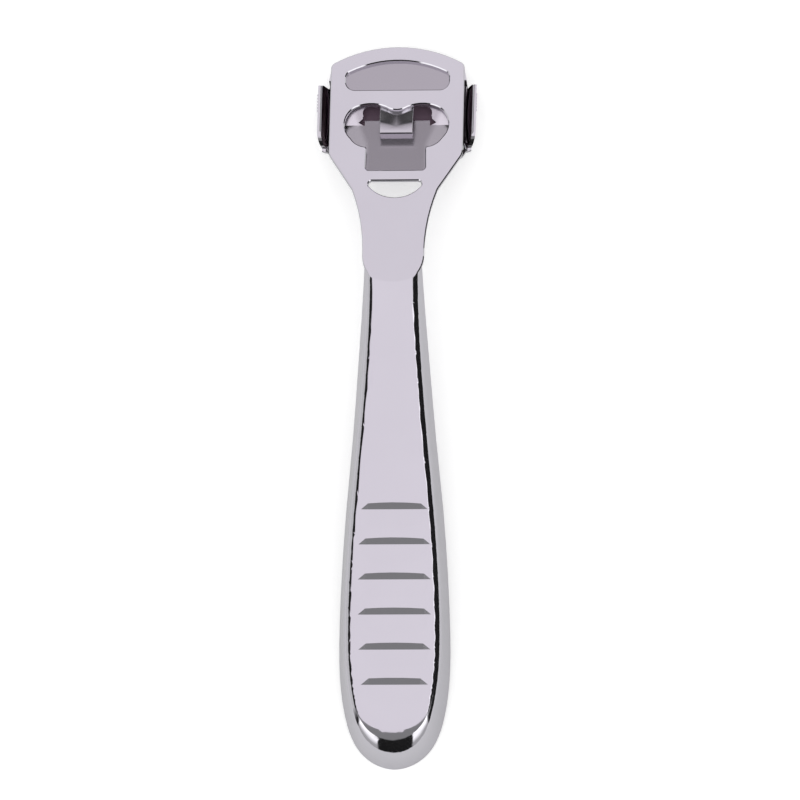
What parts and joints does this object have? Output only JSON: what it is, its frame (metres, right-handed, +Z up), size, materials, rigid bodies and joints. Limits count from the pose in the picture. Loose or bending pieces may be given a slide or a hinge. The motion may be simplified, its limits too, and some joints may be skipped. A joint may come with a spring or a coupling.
{
  "type": "callus shaver",
  "caption": "Pressed steel hand tool that pares hard skin: a channel handle with grip notches, a windowed head plate over a curved guard tray, and a blade held by a sprung thumb tab.",
  "frame": {"origin": "centre of the footprint, on the surface the tool lies on", "axes": "+X across the tool to the right, +Y along it from the butt to the head, +Z up, with the front panel and the thumb tab upwards and the tool resting on the rim of the butt and the sole of the guard"},
  "size_m": [0.0374, 0.1694, 0.0179],
  "materials": {
    "polished_steel": "polished",
    "guard_steel": "polished",
    "blade_steel": "ground",
    "clamp_steel": "bright rolled sheet",
    "spring_steel": "bright rolled sheet"
  },
  "bodies": {
    "root": {"handle_frame": "polished_steel", "guard_plate": "guard_steel", "blade": "blade_steel", "clamp_plate": "clamp_steel", "latch_spring": "spring_steel"}
  },
  "joints": []
}
